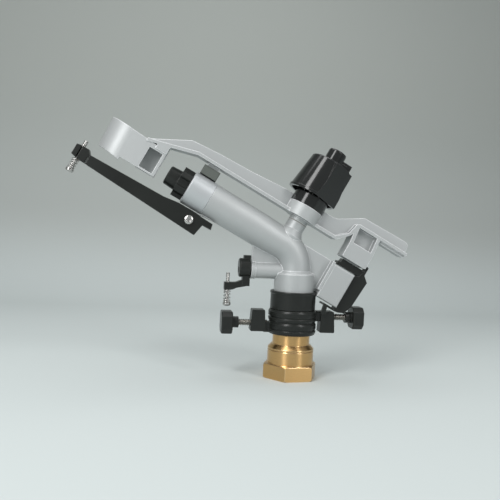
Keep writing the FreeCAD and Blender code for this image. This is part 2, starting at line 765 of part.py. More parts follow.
def arm_spoon():
    """Drive vane and curved deflector: a wall that turns a quarter circle away from the near side."""
    tall = 3 * spoon_radius
    middle = Vector(-spoon_bend, spoon_radius - spoon_near_side, 0)
    low = middle - Vector(0, 0, spoon_radius)
    wall = ring(2 * spoon_radius, 2 * (spoon_radius - spoon_wall), tall, low)
    wall.rotate(middle, ACROSS, spoon_lean)
    left = -spoon_bend - spoon_radius - 5
    near = -spoon_near_side
    curved = wall.common(block((left, near - 1, -tall), (-spoon_bend, spoon_radius - spoon_near_side, tall)))
    heel = -barrel_end - spoon_heel
    near_wall = block((-spoon_bend, near, -tall), (heel, near + spoon_wall, tall))
    window = block((-barrel_end - window_far, near - 1, window_bottom),
                   (-barrel_end - window_near, near + spoon_wall + 1, window_top))
    far_wall = block((-barrel_end - window_far - 4, spoon_far_side - 3, -tall), (heel, spoon_far_side, tall))
    drop = spoon_rise * (heel - left)
    step = -spoon_bend + 3
    inside = plate([(left, spoon_bottom + 0.9 * drop), (step, spoon_bottom), (step, vane_bottom),
                    (heel, vane_bottom), (heel, spoon_top), (left, spoon_top + drop)], 4 * spoon_radius)
    rim = plate([(left, spoon_top + drop), (left, spoon_top + drop - 1.6), (heel, spoon_top - 3),
                 (heel, spoon_top)], 4 * spoon_radius)
    cover = rod(2 * spoon_radius, 2 * tall, middle - Vector(0, 0, tall))
    cover.rotate(middle, ACROSS, spoon_lean)
    cover = cover.common(block((left, near, -tall), (-spoon_bend, 0, tall)))
    cover = cover.fuse(block((-spoon_bend, near, -tall), (heel, spoon_far_side, tall)))
    bridge = plate([(-barrel_end - 78, 17), (-barrel_end - 78, 24), (heel, 28), (heel, 17)], plate_width)
    return [wall_part.common(inside) for wall_part in (curved, near_wall.cut(window), far_wall)] + [
        cover.common(rim), bridge]


def arm_lug():
    """The tongue that the rubber bumper is pushed on to."""
    start = -barrel_end - bumper_start - bumper_wall
    half = lug_width / 2.0
    return block((start - bumper_length + 2 * bumper_wall, -half, bumper_bottom + bumper_wall + 1.5),
                 (start, half, plate_height + 1))


def arm_casting():
    hub = rod(hub_diameter, hub_top - plate_height, Vector(-pivot_offset, 0, plate_height))
    lower = rod(bush_diameter + 2 * hub_boss_wall, plate_height - hub_bottom + 1,
                Vector(-pivot_offset, 0, hub_bottom))
    half = weight_width / 2.0
    weight = block((weight_start, -half, weight_bottom), (tail_end, half, tail_height + 1))
    weight = eased(weight, 2.5, lambda edge: along(edge, ACROSS) and edge.BoundBox.ZMax < weight_bottom + 1)
    solid = arm_plate().fuse([arm_web(), hub, lower, weight, arm_lug()] + arm_striker() + arm_spoon())
    cup_room = rod(hub_diameter + 2 * free_gap, hub_top, Vector(-pivot_offset, 0, hub_top))
    bore = rod(bush_diameter, hub_top, Vector(-pivot_offset, 0, hub_bottom - 1))
    return solid.cut([cup_room, bore]).removeSplitter()


def arm_bush(start):
    return ring(bush_diameter, shaft_diameter + 2 * turning_gap, bush_length, Vector(0, 0, start))


def arm_bumper():
    start = -barrel_end - bumper_start
    boot = block((start - bumper_length, -bumper_near_side, bumper_bottom),
                 (start, horn_near - free_gap, bumper_top))
    boot = eased(boot, 1.2, lambda edge: along(edge, UP))
    return boot.cut(arm_lug())


save("arm_casting", placed(arm_casting(), barrel_frame))
save("arm_bumper", placed(arm_bumper(), barrel_frame))
save("arm_lower_bush", placed(arm_bush(hub_bottom), pivot_frame))
save("arm_upper_bush", placed(arm_bush(hub_top - bush_length), pivot_frame))
save("thrust_washer", placed(ring(post_diameter, shaft_diameter + 2 * turning_gap,
                                  hub_bottom - post_top - 2 * face_gap, Vector(0, 0, post_top + face_gap)),
                             pivot_frame))


# ================= pivot, spring housing and tension knob =================

def pivot_shaft():
    thick = shaft_diameter / 2.0
    thin = shaft_end_diameter / 2.0
    shoulder = cover_top - cover_wall
    return turned([(0, shaft_foot), (thick, shaft_foot), (thick, shoulder), (thin, shoulder),
                   (thin, knob_top - knob_roof), (0, knob_top - knob_roof)])


def spring_cup():
    outer = hub_diameter / 2.0 - 0.1
    inner = outer - cup_wall
    hole = bush_diameter / 2.0
    floor = hub_top + cup_wall
    return turned([(hole, hub_top), (outer, hub_top), (outer, cup_top), (inner, cup_top),
                   (inner, floor), (hole, floor)])


def spring_cover():
    """Tapered cover over the arm's spring, with a flat panel and a lip round its foot."""
    base = cover_base_diameter / 2.0
    crown = cover_top_diameter / 2.0
    lip = base + cover_lip_reach
    hole = shaft_end_diameter / 2.0
    ledge = cover_bottom + cover_lip
    shell = turned([(hole, cover_bottom), (lip, cover_bottom), (lip, ledge), (base, ledge),
                    (crown, cover_top - 1), (crown - 1, cover_top), (hole, cover_top)])
    side = cover_flat_width / 2.0
    far = 2 * base
    flat = block((0, -side, cover_bottom), (cover_flat_reach, side, cover_top - 1.2))
    beyond = block((cover_flat_reach, -far, cover_bottom - 2), (far, far, cover_top + 2))
    for piece in (flat, beyond):
        piece.rotate(Vector(), UP, cover_flat_turn)
    back = block((cover_back, -far, cover_bottom - 2), (far, far, cover_top + 2))
    inside = turned([(0, cover_bottom - 1), (base - cover_wall, cover_bottom - 1),
                     (base - cover_wall, ledge), (crown - cover_wall, cover_top - cover_wall),
                     (0, cover_top - cover_wall)])
    behind = beyond.copy()
    turn = math.radians(cover_flat_turn)
    behind.translate(Vector(-cover_wall * math.cos(turn), -cover_wall * math.sin(turn), 0))
    behind_back = back.translated(Vector(-cover_wall, 0, 0))
    bore = rod(shaft_end_diameter, cover_wall + 2, Vector(0, 0, cover_top - cover_wall - 1))
    return shell.fuse(flat).cut([beyond, back, inside.cut([behind, behind_back]), bore])


def tension_knob():
    base = cover_top + free_gap
    radius = tension_knob_diameter / 2.0
    body = turned([(0, base), (radius, base), (radius, knob_top - 2), (radius - 0.6, knob_top - 0.6),
                   (radius - 2, knob_top), (0, knob_top)])
    half = pointer_width / 2.0
    pointer = block((radius - 3, -half, base + 2), (pointer_reach, half, base + 9))
    collar = block((0, -2 * half - 1, base), (pointer_reach - pointer_width, 2 * half + 1, base + 5.5))
    depth = knob_top - knob_roof - base + free_gap
    bore = rod(shaft_end_diameter + 2 * turning_gap, depth, Vector(0, 0, base))
    return body.fuse([pointer, collar]).cut(bore)


save("pivot_shaft", placed(pivot_shaft(), pivot_frame))
save("spring_cup", placed(spring_cup(), pivot_frame))
save("spring_cover", placed(spring_cover(), pivot_frame))
save("tension_knob", placed(tension_knob(), pivot_frame))
save("arm_spring", placed(coil(2.4, 24.0, hub_top + cup_wall + face_gap,
                               cover_top - cover_wall - face_gap, 5), pivot_frame))


# ================= trip mechanism =================

def trip_housing():
    """Open box for the trip's works; its lower corner is cut back to pass the bearing housing."""
    outer = block((trip_left, -trip_near, trip_bottom),
                  (trip_right, trip_far - trip_cover_thickness, trip_top))
    outer = eased(outer, trip_rounding, lambda edge: edge.BoundBox.YMax < 0 and not along(edge, ACROSS))
    hollow = block((trip_left + trip_wall, trip_wall - trip_near, trip_bottom + trip_wall),
                   (trip_right - trip_wall, trip_far, trip_top - trip_wall))
    hollow = placed(hollow, barrel_frame).cut(clear_of_housing(relief_gap + 2))
    pin = rod(trip_pin_diameter, 40, Vector(trip_left + 12, 0, trip_pivot_height), OUT)
    return placed(outer, barrel_frame).cut([hollow, placed(pin, barrel_frame), clear_of_housing(relief_gap)])


def trip_housing_cover():
    cover = block((trip_left, trip_far - trip_cover_thickness, trip_bottom), (trip_right, trip_far, trip_top))
    return placed(cover, barrel_frame).cut(clear_of_housing(relief_gap))


def trip_lever():
    """Rocker round the housing: a bar on its pin, a hood above, a foot below and the finger for the stops."""
    start = trip_right + 0.6
    foot_top = trip_bottom - lever_gap
    foot_bottom = foot_top - foot_thickness
    hood = trip_top + lever_gap
    bar = plate([(start, foot_bottom), (trip_right + 6, foot_bottom + 0.5), (trip_right + 12.9, -32.5),
                 (trip_right + 17, -21.7), (trip_right + 18.9, 10.7), (trip_right + 12, 16.5),
                 (trip_right + 12, 26), (trip_right + 10, 27), (trip_right + 10, 20),
                 (trip_right + 6.5, hood), (start, trip_top)], lever_depth)
    top = plate([(trip_left + 3.5, hood), (trip_right + 11.5, hood), (trip_right + 11.5, hood + 8.6),
                 (trip_left + 7.5, hood + 8.6), (trip_left + 6.5, hood + 3.8), (trip_left + 3.5, hood + 3.8)],
                lever_depth - 1)
    foot = plate([(finger_reach - 2.5, foot_bottom), (start + 3, foot_bottom), (start + 3, foot_top),
                  (finger_reach - 2.5, foot_top)], lever_depth - 1)
    half = finger_thickness / 2.0
    shelf = block((finger_reach - 2.5, -finger_side - half, foot_bottom), (finger_reach + 2.5, 0, foot_top))
    bore = rod(trip_pin_diameter + 2 * turning_gap, 40, Vector(trip_right - 2, 0, trip_pivot_height), OUT)
    seat = trip_pin_end - trip_pin_head_height - face_gap
    recess = rod(trip_pin_head + 2 * free_gap, 20, Vector(seat, 0, trip_pivot_height), OUT)
    lever = placed(bar.fuse([top, foot, shelf]).cut([bore, recess]), barrel_frame)
    joint = barrel_frame.multVec(Vector(finger_reach, 0, foot_bottom + foot_thickness / 2.0))
    tip = stop_top - 2
    finger = plate([(joint.x - 5, tip), (joint.x + 0.5, tip - 0.5), (joint.x + 2.2, joint.z),
                    (joint.x - 1.8, joint.z + 1)], finger_thickness, -finger_side)
    return lever.fuse(finger)


def trip_pin():
    foot = trip_left + trip_wall + 9
    under = trip_pin_end - trip_pin_head_height
    shank = rod(trip_pin_diameter, under - foot + 1, Vector(foot, 0, trip_pivot_height), OUT)
    return shank.fuse(rod(trip_pin_head, trip_pin_head_height, Vector(under, 0, trip_pivot_height), OUT))


save("trip_housing", trip_housing())
save("trip_housing_cover", trip_housing_cover())
save("trip_lever", trip_lever())
save("trip_pin", placed(trip_pin(), barrel_frame))
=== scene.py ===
import json
import math

import bmesh
import bpy
from mathutils import Matrix, Vector


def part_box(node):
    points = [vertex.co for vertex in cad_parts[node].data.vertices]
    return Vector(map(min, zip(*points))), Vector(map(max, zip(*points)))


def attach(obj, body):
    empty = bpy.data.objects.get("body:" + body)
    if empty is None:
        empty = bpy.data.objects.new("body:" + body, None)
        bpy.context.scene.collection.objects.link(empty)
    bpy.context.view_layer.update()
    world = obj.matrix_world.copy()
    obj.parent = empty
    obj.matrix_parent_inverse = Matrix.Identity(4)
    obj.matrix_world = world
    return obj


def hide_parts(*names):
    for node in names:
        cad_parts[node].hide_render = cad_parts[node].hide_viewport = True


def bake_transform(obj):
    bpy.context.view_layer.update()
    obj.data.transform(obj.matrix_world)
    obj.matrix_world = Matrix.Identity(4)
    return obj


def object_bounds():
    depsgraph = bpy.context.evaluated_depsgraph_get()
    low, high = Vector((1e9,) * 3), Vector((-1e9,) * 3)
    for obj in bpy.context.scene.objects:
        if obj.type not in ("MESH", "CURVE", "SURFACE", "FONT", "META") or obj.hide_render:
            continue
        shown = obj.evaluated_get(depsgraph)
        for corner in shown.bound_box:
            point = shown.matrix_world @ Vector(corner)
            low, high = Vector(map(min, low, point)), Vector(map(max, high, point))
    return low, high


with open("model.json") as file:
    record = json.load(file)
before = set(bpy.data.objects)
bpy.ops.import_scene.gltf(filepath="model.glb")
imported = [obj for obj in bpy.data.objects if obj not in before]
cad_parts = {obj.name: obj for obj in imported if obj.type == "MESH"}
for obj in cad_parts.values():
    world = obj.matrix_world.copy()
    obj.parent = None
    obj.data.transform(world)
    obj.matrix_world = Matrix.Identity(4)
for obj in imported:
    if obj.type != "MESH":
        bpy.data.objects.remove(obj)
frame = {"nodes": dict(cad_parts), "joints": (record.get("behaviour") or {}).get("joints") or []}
cad_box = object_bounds()

# ---------------------------------------------------------------- studio
# A pale table that curves up into a wall painted darker with height (painted shade for light falling
# off), two tall soft boxes in front and one overhead.
# The camera stands a little below the height of the arm's pivot.


def material(name):
    """A new node material: the material, its tree and its Principled shader."""
    made = bpy.data.materials.new(name)
    made.use_nodes = True
    tree = made.node_tree
    return made, tree, tree.nodes["Principled BSDF"]


def node(tree, kind, **settings):
    """Adds one node to a tree. Settings are its own properties."""
    made = tree.nodes.new(kind)
    for key, value in settings.items():
        setattr(made, key, value)
    return made


def linked(tree, *pairs):
    """Links each (from socket, to socket) pair of a tree."""
    for start, end in pairs:
        tree.links.new(start, end)


def ramp(tree, high, stops):
    """A colour ramp over a value from 0 to high: its value socket and its colour. Stops are
    (place, colour)."""
    spread = node(tree, "ShaderNodeMapRange")
    spread.inputs["From Max"].default_value = high
    colours = node(tree, "ShaderNodeValToRGB")
    colours.color_ramp.interpolation = "EASE"
    points = colours.color_ramp.elements
    for point, (place, colour) in zip(points, (stops[0], stops[-1])):
        point.position = place
        point.color = (*colour, 1)
    for place, colour in stops[1:-1]:
        points.new(place).color = (*colour, 1)
    linked(tree, (spread.outputs["Result"], colours.inputs["Fac"]))
    return spread.inputs["Value"], colours.outputs["Color"]


# Stage colours by height: the wall's darker grey towards the top is painted shade for light falling
# off up the wall.
table_pale = (0.53, 0.575, 0.57)
wall_pale = (0.40, 0.425, 0.41)
wall_top_shade = (0.38, 0.40, 0.38)
full_shade_height = 0.62
wall_pale_share = 0.35
table_front = -1.6
bend_start = 0.55
bend_radius = 0.45
bend_steps = 16
wall_top = 2.2
stage_half = 2.6

sweep = [(table_front, 0.0), (bend_start, 0.0)]
for step in range(1, bend_steps + 1):
    angle = math.radians(90 * step / bend_steps)
    sweep.append((bend_start + bend_radius * math.sin(angle),
                  bend_radius * (1 - math.cos(angle))))
sweep.append((bend_start + bend_radius, wall_top))
corners = [(side * stage_half, y, z) for y, z in sweep for side in (-1, 1)]
faces = [(2 * n, 2 * n + 1, 2 * n + 3, 2 * n + 2) for n in range(len(sweep) - 1)]
stage_mesh = bpy.data.meshes.new("stage")
stage_mesh.from_pydata(corners, [], faces)
stage_mesh.shade_smooth()
stage = bpy.data.objects.new("stage", stage_mesh)
bpy.context.scene.collection.objects.link(stage)

stage_paint, tree, shader = material("stage_paint")
place = node(tree, "ShaderNodeTexCoord")
split = node(tree, "ShaderNodeSeparateXYZ")
# The ramp paints the sweep darker from the pale table up the wall: painted shade for the light's
# falloff with height.
height, tint = ramp(tree, full_shade_height,
                    [(0.0, table_pale), (wall_pale_share, wall_pale), (1.0, wall_top_shade)])
linked(tree, (place.outputs["Object"], split.inputs[0]), (split.outputs["Z"], height),
       (tint, shader.inputs["Base Color"]))
shader.inputs["Roughness"].default_value = 0.85
shader.inputs["Specular IOR Level"].default_value = 0.15
stage_mesh.materials.append(stage_paint)


def soft_box(name, place, width, height, power):
    """A rectangular lamp at a place, turned to face the sprinkler's middle."""
    lamp = bpy.data.lights.new(name, "AREA")
    lamp.shape = "RECTANGLE"
    lamp.size = width
    lamp.size_y = height
    lamp.energy = power
    aim = (cad_box[0] + cad_box[1]) / 2
    holder = bpy.data.objects.new(name, lamp)
    holder.location = place
    holder.rotation_mode = "QUATERNION"
    holder.rotation_quaternion = (aim - Vector(place)).to_track_quat("-Z", "Y")
    bpy.context.scene.collection.objects.link(holder)


soft_box("left_soft_box", (-0.72, -0.80, 0.82), width=0.34, height=1.2, power=11)
soft_box("right_soft_box", (0.70, -0.85, 0.75), width=0.24, height=1.0, power=5.5)
soft_box("overhead_soft_box", (-0.10, 0.05, 1.15), width=1.1, height=0.8, power=5.5)

world = bpy.data.worlds.new("studio_air")
world.use_nodes = True
air = world.node_tree.nodes["Background"]
air.inputs["Color"].default_value = (0.60, 0.62, 0.63, 1)
air.inputs["Strength"].default_value = 0.63
bpy.context.scene.world = world
bpy.context.scene.view_settings.view_transform = "Standard"

camera_place = Vector((-0.1457, -0.6666, 0.1646))
camera_forward = Vector((0.1391, 0.9897, -0.0332)).normalized()
camera_roll = math.radians(2.8)
camera_lens = bpy.data.cameras.new("camera")
camera_lens.lens = 43.2
camera_lens.sensor_width = 36
camera_lens.clip_start = 0.01
camera = bpy.data.objects.new("camera", camera_lens)
level_right = camera_forward.cross(Vector((0, 0, 1))).normalized()
level_up = level_right.cross(camera_forward)
camera_right = level_right * math.cos(camera_roll) + level_up * math.sin(camera_roll)
camera_up = camera_right.cross(camera_forward)
turn = Matrix((camera_right, camera_up, -camera_forward)).transposed()
camera.matrix_world = Matrix.Translation(camera_place) @ turn.to_4x4()
bpy.context.scene.collection.objects.link(camera)
bpy.context.scene.camera = camera

# ---------------------------------------------------------------- inlet and swivel
# A brass inlet turned from bar, with a milled hexagon, and the flanged brass tube that the head
# turns on. Acetal and rubber washers run between them, loaded by a stainless spring. The brass is
# left as it comes off the lathe.

mm = 0.001


def shader_group(name, inputs, outputs):
    """An empty shader group with (name, type, value) inputs and (name, type) outputs."""
    group = bpy.data.node_groups.new(name, "ShaderNodeTree")
    for label, kind, value in inputs:
        socket = group.interface.new_socket(label, in_out="INPUT",
                                            socket_type="NodeSocket" + kind)
        socket.default_value = value
    for label, kind in outputs:
        group.interface.new_socket(label, in_out="OUTPUT", socket_type="NodeSocket" + kind)
    return group, node(group, "NodeGroupInput"), node(group, "NodeGroupOutput")


def maths(tree, operation, *values):
    """One Math node's result. Each value is a socket or a number."""
    made = node(tree, "ShaderNodeMath", operation=operation)
    for slot, value in zip(made.inputs, values):
        if isinstance(value, (int, float)):
            slot.default_value = value
        else:
            linked(tree, (value, slot))
    return made.outputs[0]


def noise(tree, vector, scale, detail):
    """A noise texture's value over a vector socket. Scale is a number or a socket."""
    made = node(tree, "ShaderNodeTexNoise")
    linked(tree, (vector, made.inputs["Vector"]))
    if isinstance(scale, (int, float)):
        made.inputs["Scale"].default_value = scale
    else:
        linked(tree, (scale, made.inputs["Scale"]))
    made.inputs["Detail"].default_value = detail
    made.inputs["Roughness"].default_value = 0.55
    return made.outputs["Fac"]


# Surface grain: fine bumps, broad blotches and the roughness that goes with them.
surface_grain, given, put_out = shader_group(
    "surface_grain",
    [("Vector", "Vector", (0, 0, 0)), ("Fine Scale", "Float", 900),
     ("Blotch Scale", "Float", 25), ("Roughness", "Float", 0.4), ("Spread", "Float", 0.1)],
    [("Height", "Float"), ("Blotch", "Float"), ("Roughness", "Float")])
fine = noise(surface_grain, given.outputs["Vector"], given.outputs["Fine Scale"], detail=4.0)
blotch = noise(surface_grain, given.outputs["Vector"], given.outputs["Blotch Scale"], detail=3.0)
centred = maths(surface_grain, "SUBTRACT", blotch, 0.5)
swing = maths(surface_grain, "MULTIPLY", centred, given.outputs["Spread"])
rough = maths(surface_grain, "ADD", given.outputs["Roughness"], swing)
linked(surface_grain, (fine, put_out.inputs["Height"]), (blotch, put_out.inputs["Blotch"]),
       (rough, put_out.inputs["Roughness"]))

# Edge wear and sheen: how sharply the surface turns here, broken up by noise, and a softened normal.
# The mask paints edges paler, partly wear and partly a painted highlight for edge sheen.
edge_radius = 1.0 * mm
edge_patch_scale = 220.0
edge_patch_middle = 0.35
edge_wear, given, put_out = shader_group(
    "edge_wear",
    [("Vector", "Vector", (0, 0, 0)), ("Sharpness", "Float", 8.0), ("Break Up", "Float", 0.6)],
    [("Wear", "Float"), ("Normal", "Vector")])
softened = node(edge_wear, "ShaderNodeBevel", samples=6)
softened.inputs["Radius"].default_value = edge_radius
facing = node(edge_wear, "ShaderNodeNewGeometry")
alike = node(edge_wear, "ShaderNodeVectorMath", operation="DOT_PRODUCT")
linked(edge_wear, (softened.outputs["Normal"], alike.inputs[0]),
       (facing.outputs["Normal"], alike.inputs[1]))
turned_away = maths(edge_wear, "SUBTRACT", 1.0, alike.outputs["Value"])
sharp = maths(edge_wear, "MULTIPLY", turned_away, given.outputs["Sharpness"])
patches = noise(edge_wear, given.outputs["Vector"], edge_patch_scale, detail=4.0)
uneven = maths(edge_wear, "SUBTRACT", patches, edge_patch_middle)
broken = maths(edge_wear, "MULTIPLY", uneven, given.outputs["Break Up"])
patchy = maths(edge_wear, "ADD", sharp, maths(edge_wear, "MULTIPLY", sharp, broken))
edge_mask = node(edge_wear, "ShaderNodeClamp")
linked(edge_wear, (patchy, edge_mask.inputs[0]), (edge_mask.outputs[0], put_out.inputs["Wear"]),
       (softened.outputs["Normal"], put_out.inputs["Normal"]))


def used(tree, group, **values):
    """Places a shader group in a tree, with values on its inputs."""
    made = node(tree, "ShaderNodeGroup", node_tree=group)
    for key, value in values.items():
        slot = made.inputs[key.replace("_", " ")]
        if isinstance(value, (int, float)):
            slot.default_value = value
        else:
            linked(tree, (value, slot))
    return made


def mixed(tree, share, first, second):
    """A colour between two colours, each a tuple or a socket, by the value of a share socket."""
    made = node(tree, "ShaderNodeMix", data_type="RGBA")
    slots = [socket for socket in made.inputs if socket.type == "RGBA"]
    for slot, value in zip(slots, (first, second)):
        if isinstance(value, tuple):
            slot.default_value = (*value, 1)
        else:
            linked(tree, (value, slot))
    linked(tree, (share, made.inputs[0]))
    return [socket for socket in made.outputs if socket.type == "RGBA"][0]


def finish_material(name, colour, blotched, wear_and_sheen_colour, roughness, spread, metallic=0.0,
                    fine_scale=900, bump=0.15, bump_depth=0.05 * mm, wear_and_sheen=0.5,
                    stretch=(1, 1, 1), tilt=0.0, coat=0.0, specular=0.5):
    """A finish: colour with blotches, paler edges that are partly wear and partly a painted highlight
    for edge sheen, and fine grain that may be stretched into lathe marks across an axis tilted in the
    XZ plane."""
    made, tree, shader = material(name)
    place = node(tree, "ShaderNodeTexCoord").outputs["Object"]
    laid = node(tree, "ShaderNodeMapping")
    laid.inputs["Rotation"].default_value = (0, -tilt, 0)
    stretched = node(tree, "ShaderNodeMapping")
    stretched.inputs["Scale"].default_value = stretch
    linked(tree, (place, laid.inputs["Vector"]), (laid.outputs["Vector"], stretched.inputs["Vector"]))
    grain = used(tree, surface_grain, Vector=stretched.outputs["Vector"],
                 Fine_Scale=float(fine_scale), Roughness=roughness, Spread=spread)
    edges = used(tree, edge_wear, Vector=place)
    base = mixed(tree, grain.outputs["Blotch"], colour, blotched)
    # Edges are mixed toward the paler edge colour: partly wear, partly a painted highlight of edge
    # sheen.
    share = maths(tree, "MULTIPLY", edges.outputs["Wear"], wear_and_sheen)
    bumps = node(tree, "ShaderNodeBump")
    bumps.inputs["Strength"].default_value = bump
    bumps.inputs["Distance"].default_value = bump_depth
    linked(tree, (grain.outputs["Height"], bumps.inputs["Height"]),
           (edges.outputs["Normal"], bumps.inputs["Normal"]),
           (mixed(tree, share, base, wear_and_sheen_colour), shader.inputs["Base Color"]),
           (grain.outputs["Roughness"], shader.inputs["Roughness"]),
           (bumps.outputs["Normal"], shader.inputs["Normal"]))
    shader.inputs["Metallic"].default_value = metallic
    shader.inputs["Specular IOR Level"].default_value = specular
    if coat:
        shader.inputs["Coat Weight"].default_value = coat
        shader.inputs["Coat Roughness"].default_value = 0.06
    return made


def dress(finish, *names):
    """Gives CAD nodes their finish."""
    for name in names:
        mesh = frame["nodes"][name].data
        mesh.materials.clear()
        mesh.materials.append(finish)


turned_brass = finish_material(
    "turned_brass", (0.72, 0.465, 0.21), (0.60, 0.37, 0.15), (0.95, 0.74, 0.44), roughness=0.30,
    spread=0.15, metallic=1.0, fine_scale=6, stretch=(6, 6, 260), bump=0.4, wear_and_sheen=0.9)
turned_round = node(turned_brass.node_tree, "ShaderNodeTangent", direction_type="RADIAL",
                    axis="Z")
brass_shader = turned_brass.node_tree.nodes["Principled BSDF"]
brass_shader.inputs["Anisotropic"].default_value = 0.85
brass_shader.inputs["Anisotropic Rotation"].default_value = 0.25
linked(turned_brass.node_tree, (turned_round.outputs[0], brass_shader.inputs["Tangent"]))
acetal = finish_material("acetal", (0.74, 0.72, 0.66), (0.70, 0.68, 0.61), (0.8, 0.78, 0.72),
                         roughness=0.42, spread=0.1)
rubber = finish_material(
    "rubber", (0.105, 0.117, 0.105), (0.065, 0.073, 0.065), (0.15, 0.16, 0.15), roughness=0.75,
    spread=0.12, fine_scale=700, bump=0.9, bump_depth=0.2 * mm)
stainless = finish_material(
    "stainless", (0.62, 0.61, 0.59), (0.45, 0.44, 0.43), (0.88, 0.88, 0.86), roughness=0.20,
    spread=0.1, metallic=1.0, fine_scale=1200, wear_and_sheen=0.0)
dress(turned_brass, "inlet_fitting", "inlet_sleeve", "swivel_tube")
dress(acetal, "wear_washer", "friction_washer")
dress(rubber, "seal_washer")
dress(stainless, "pressure_spring")


def geometry_tree(name, inputs):
    """An empty Geometry Nodes tree with a geometry output and (name, type, value) inputs."""
    tree = bpy.data.node_groups.new(name, "GeometryNodeTree")
    tree.interface.new_socket("Geometry", in_out="OUTPUT", socket_type="NodeSocketGeometry")
    for label, kind, value in inputs:
        socket = tree.interface.new_socket(label, in_out="INPUT",
                                           socket_type="NodeSocket" + kind)
        socket.default_value = value
    tree.interface.new_socket("Finish", in_out="INPUT", socket_type="NodeSocketMaterial")
    return tree, node(tree, "NodeGroupInput"), node(tree, "NodeGroupOutput")


def closed_off(tree, given, put_out, shape, smooth=True):
    """Ends a Geometry Nodes tree: shading, plain mesh and its material."""
    shaded = node(tree, "GeometryNodeSetShadeSmooth")
    shaded.inputs["Shade Smooth"].default_value = smooth
    plain = node(tree, "GeometryNodeRealizeInstances")
    coloured = node(tree, "GeometryNodeSetMaterial")
    linked(tree, (shape, shaded.inputs["Geometry"]), (shaded.outputs[0], plain.inputs["Geometry"]),
           (plain.outputs[0], coloured.inputs["Geometry"]),
           (given.outputs["Finish"], coloured.inputs["Material"]),
           (coloured.outputs[0], put_out.inputs["Geometry"]))


def grown(name, tree, place, **values):
    """The plain mesh object that a Geometry Nodes tree gives for these inputs, in its place.
    Its mesh primitives come with an empty material slot, which is taken away."""
    holder = bpy.data.objects.new(name, bpy.data.meshes.new(name + "_start"))
    bpy.context.scene.collection.objects.link(holder)
    modifier = holder.modifiers.new("shape", "NODES")
    modifier.node_group = tree
    for item in tree.interface.items_tree:
        key = item.name.replace(" ", "_")
        if item.in_out == "INPUT" and key in values:
            modifier[item.identifier] = values[key]
    evaluated = holder.evaluated_get(bpy.context.evaluated_depsgraph_get())
    mesh = bpy.data.meshes.new_from_object(evaluated)
    mesh.transform(place)
    mesh.name = name
    mesh.materials.clear()
    mesh.materials.append(values["Finish"])
    for face in mesh.polygons:
        face.material_index = 0
    holder.modifiers.remove(modifier)
    holder.data = mesh
    return holder


def upright_on(point, axis):
    """The placement that takes the Z axis to a line through a point."""
    lean = Vector((0, 0, 1)).rotation_difference(Vector(axis))
    return Matrix.Translation(point) @ lean.to_matrix().to_4x4()


# A wire wound on a cylinder from z = 0 up, with closer turns at its ends.
wound_wire, given, put_out = geometry_tree(
    "wound_wire",
    [("Coil Diameter", "Float", 8 * mm), ("Wire Diameter", "Float", 1 * mm),
     ("Length", "Float", 15 * mm), ("Turns", "Float", 6.0), ("Closed Ends", "Float", 0.6),
     ("Steps per Turn", "Int", 24), ("Wire Sides", "Int", 10)])
coil_radius = maths(wound_wire, "MULTIPLY", given.outputs["Coil Diameter"], 0.5)
wire_radius = maths(wound_wire, "MULTIPLY", given.outputs["Wire Diameter"], 0.5)
helix = node(wound_wire, "GeometryNodeCurveSpiral")
placed_at = node(wound_wire, "GeometryNodeInputPosition")
apart = node(wound_wire, "ShaderNodeSeparateXYZ")
share = node(wound_wire, "GeometryNodeSplineParameter").outputs["Factor"]
around = maths(wound_wire, "MULTIPLY", share, math.tau)
wave = maths(wound_wire, "SINE", around)
slowed = maths(wound_wire, "MULTIPLY", wave, given.outputs["Closed Ends"])
rise = maths(wound_wire, "SUBTRACT", share, maths(wound_wire, "DIVIDE", slowed, math.tau))
together = node(wound_wire, "ShaderNodeCombineXYZ")
lifted = node(wound_wire, "GeometryNodeSetPosition")
wire = node(wound_wire, "GeometryNodeCurvePrimitiveCircle")
tube = node(wound_wire, "GeometryNodeCurveToMesh")
tube.inputs["Fill Caps"].default_value = True
linked(wound_wire,
       (given.outputs["Steps per Turn"], helix.inputs["Resolution"]),
       (given.outputs["Turns"], helix.inputs["Rotations"]),
       (coil_radius, helix.inputs["Start Radius"]), (coil_radius, helix.inputs["End Radius"]),
       (given.outputs["Length"], helix.inputs["Height"]), (placed_at.outputs[0], apart.inputs[0]),
       (apart.outputs["X"], together.inputs["X"]), (apart.outputs["Y"], together.inputs["Y"]),
       (maths(wound_wire, "MULTIPLY", rise, given.outputs["Length"]), together.inputs["Z"]),
       (helix.outputs[0], lifted.inputs["Geometry"]),
       (together.outputs[0], lifted.inputs["Position"]),
       (wire_radius, wire.inputs["Radius"]),
       (given.outputs["Wire Sides"], wire.inputs["Resolution"]),
       (lifted.outputs[0], tube.inputs["Curve"]), (wire.outputs[0], tube.inputs["Profile Curve"]))
closed_off(wound_wire, given, put_out, tube.outputs[0])

# The pipe thread's crests inside the inlet's mouth: 11 to the inch.
pipe_thread_diameter = 44.8 * mm
pipe_thread_pitch = 2.309 * mm
pipe_thread_turns = 9
pipe_thread_crest = 1.3 * mm
pipe_thread_start = 1.4 * mm
inlet_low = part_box("inlet_fitting")[0]
pipe_thread = grown(
    "inlet_pipe_thread", wound_wire, Matrix.Translation((0, 0, inlet_low.z + pipe_thread_start)),
    Coil_Diameter=pipe_thread_diameter, Wire_Diameter=pipe_thread_crest,
    Length=pipe_thread_pitch * pipe_thread_turns, Turns=float(pipe_thread_turns),
    Closed_Ends=0.0, Steps_per_Turn=72, Wire_Sides=5, Finish=turned_brass)
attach(pipe_thread, "inlet")

# ---------------------------------------------------------------- stops and bearing housing
# Moulded glass-filled nylon, semi-matt, with the faint grain of a sparked mould. The stop rings
# slide round the inlet's sleeve, and a blackened steel screw with a nylon knob clamps each one.

